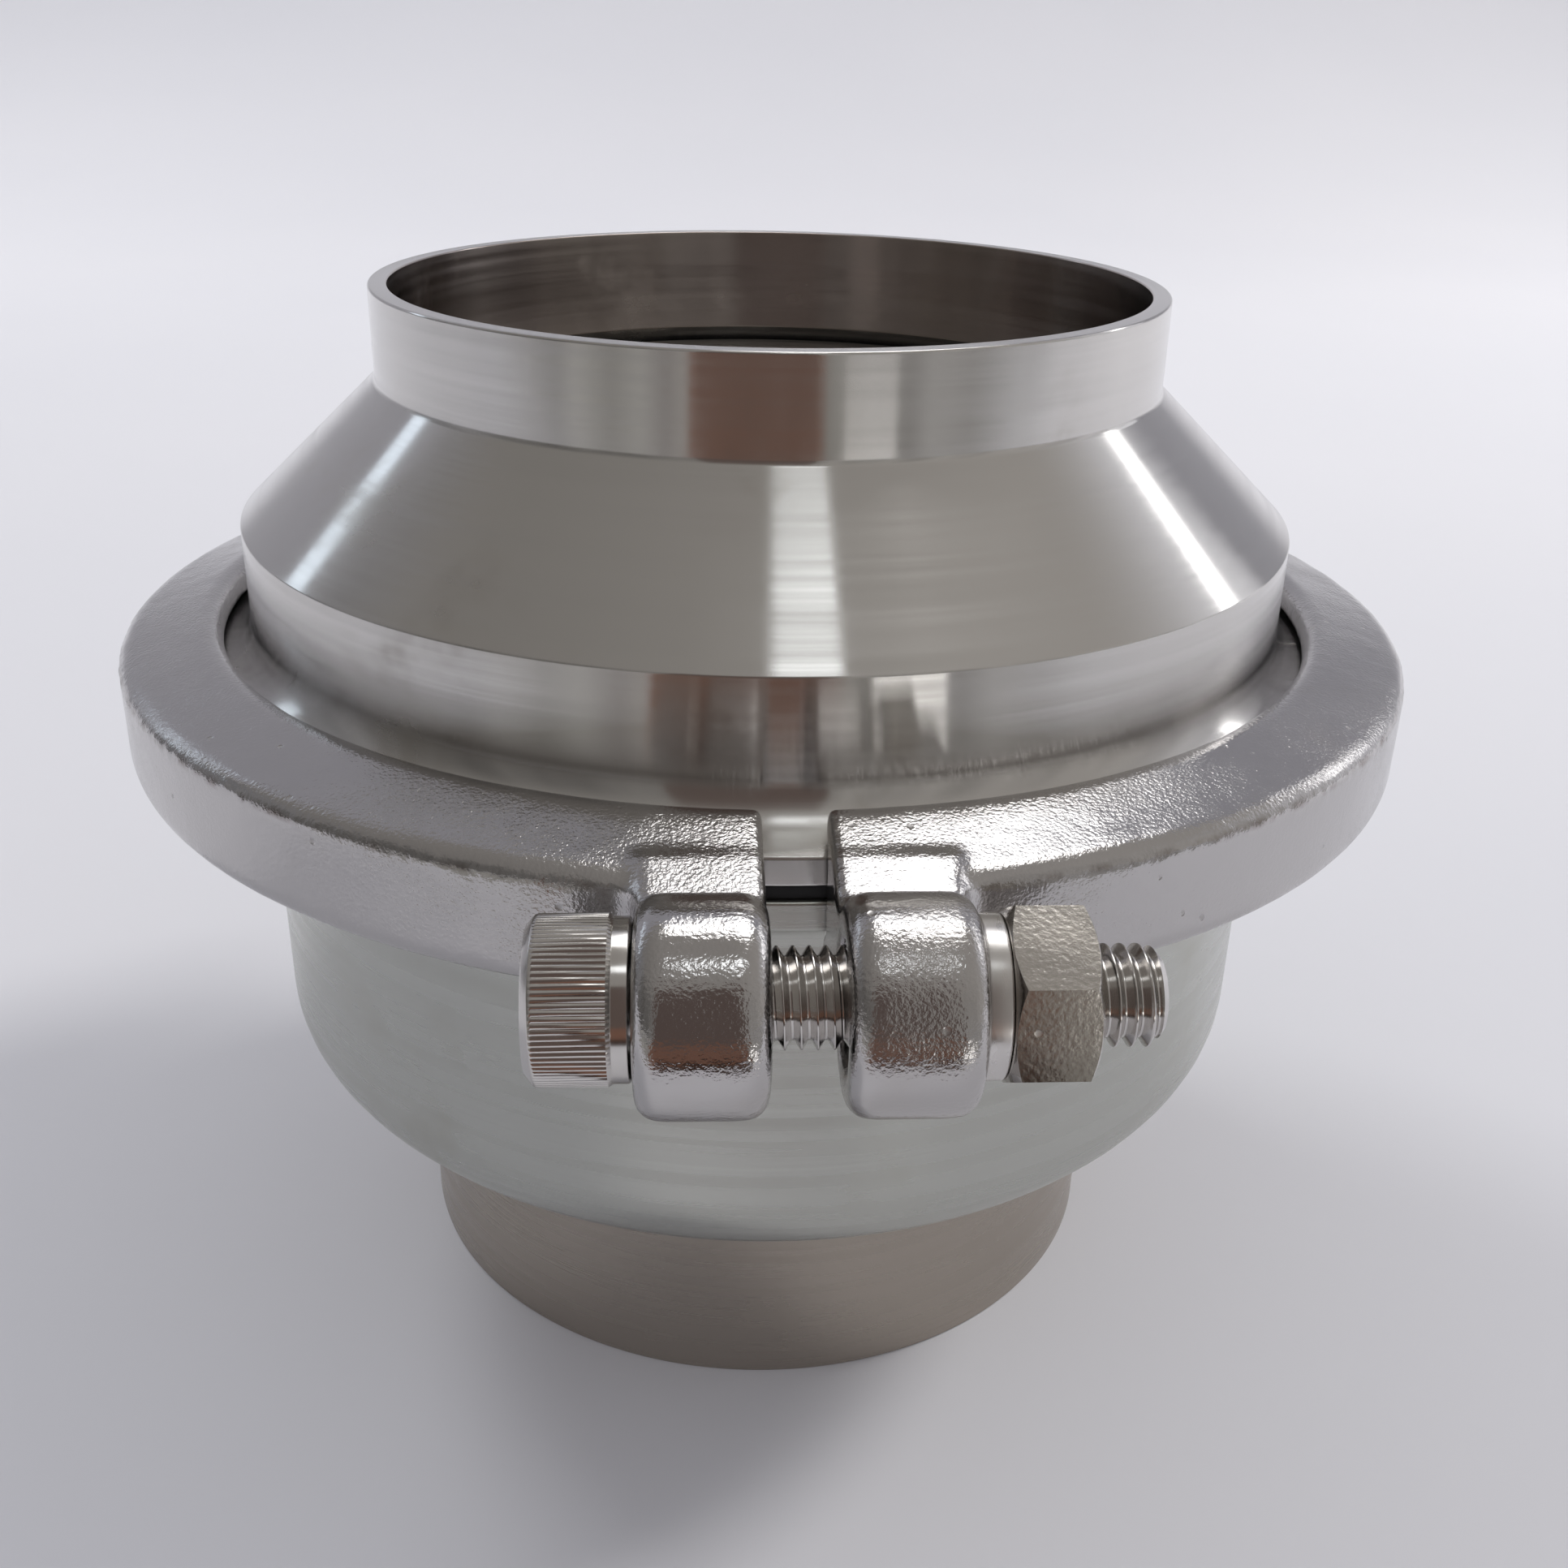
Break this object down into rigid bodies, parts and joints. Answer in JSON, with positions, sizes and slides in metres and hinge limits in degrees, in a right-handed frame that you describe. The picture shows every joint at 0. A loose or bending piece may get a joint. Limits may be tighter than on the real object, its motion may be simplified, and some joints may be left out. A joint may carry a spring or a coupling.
{
  "type": "spring-loaded check valve",
  "caption": "Sanitary non-return valve with weld necks: two turned bodies in a hinged wedge clamp with a cap screw, and a spring-loaded plug inside.",
  "frame": {"origin": "on the valve's axis, at the end face of the lower (outlet) weld neck", "axes": "+Z along the valve's axis from the outlet neck to the inlet neck, -Y towards the clamp's screw, +Y towards its hinge, +X towards the nut"},
  "size_m": [0.1424, 0.1702, 0.1141],
  "materials": {
    "turned_stainless": "fine turned and polished",
    "cast_stainless": "investment cast, electropolished",
    "screw_stainless": "bright rolled",
    "ground_stainless": "ground",
    "spring_stainless": "drawn wire",
    "black_rubber": "moulded, matt",
    "white_ptfe": "turned"
  },
  "bodies": {
    "valve_body": {"lower_body": "turned_stainless", "upper_body": "turned_stainless", "body_gasket": "black_rubber", "guide_ring": "turned_stainless", "guide_arms": "turned_stainless", "guide_hub": "turned_stainless", "guide_bush": "white_ptfe", "spring_seat": "screw_stainless", "return_spring": "spring_stainless"},
    "plug": {"valve_plug": "turned_stainless", "plug_stem": "ground_stainless", "plug_seal_ring": "black_rubber", "stem_stop_washer": "screw_stainless", "stem_circlip": "spring_stainless"},
    "clamp_left": {"clamp_half_left": "cast_stainless", "cap_screw": "screw_stainless"},
    "clamp_right": {"clamp_half_right": "cast_stainless", "hinge_pin": "screw_stainless"},
    "washer": {"lock_washer": "screw_stainless"},
    "nut": {"hex_nut": "screw_stainless"}
  },
  "joints": [
    {"name": "plug_lift", "type": "slide", "parent": "valve_body", "child": "plug", "axis": [0, 0, -1], "range_m": [0, 0.016], "stiffness_N_per_m": 500, "springref_m": -0.03, "deforming": ["return_spring"]},
    {"name": "clamp_left_open", "type": "hinge", "parent": "valve_body", "child": "clamp_left", "pos_m": [0, 0.076, 0.0728], "axis": [0, 0, -1], "range_deg": [0, 0.921]},
    {"name": "clamp_right_open", "type": "hinge", "parent": "valve_body", "child": "clamp_right", "pos_m": [0, 0.076, 0.0728], "axis": [0, 0, 1], "range_deg": [0, 0.9395]},
    {"name": "washer_slide", "type": "slide", "parent": "clamp_left", "child": "washer", "axis": [1, 0, 0], "range_m": [0, 0.00529]},
    {"name": "nut_turn", "type": "hinge", "parent": "washer", "child": "nut", "pos_m": [0.0149, -0.07865, 0.0728], "axis": [1, 0, 0], "range_deg": [0, 1523.9]}
  ],
  "couplings": [
    {"joint": "nut_turn", "follows": "clamp_left_open", "ratio": 1622.1},
    {"joint": "clamp_right_open", "follows": "clamp_left_open", "ratio": 1},
    {"joint": "washer_slide", "follows": "clamp_left_open", "m_per_rad": 0.3227}
  ]
}
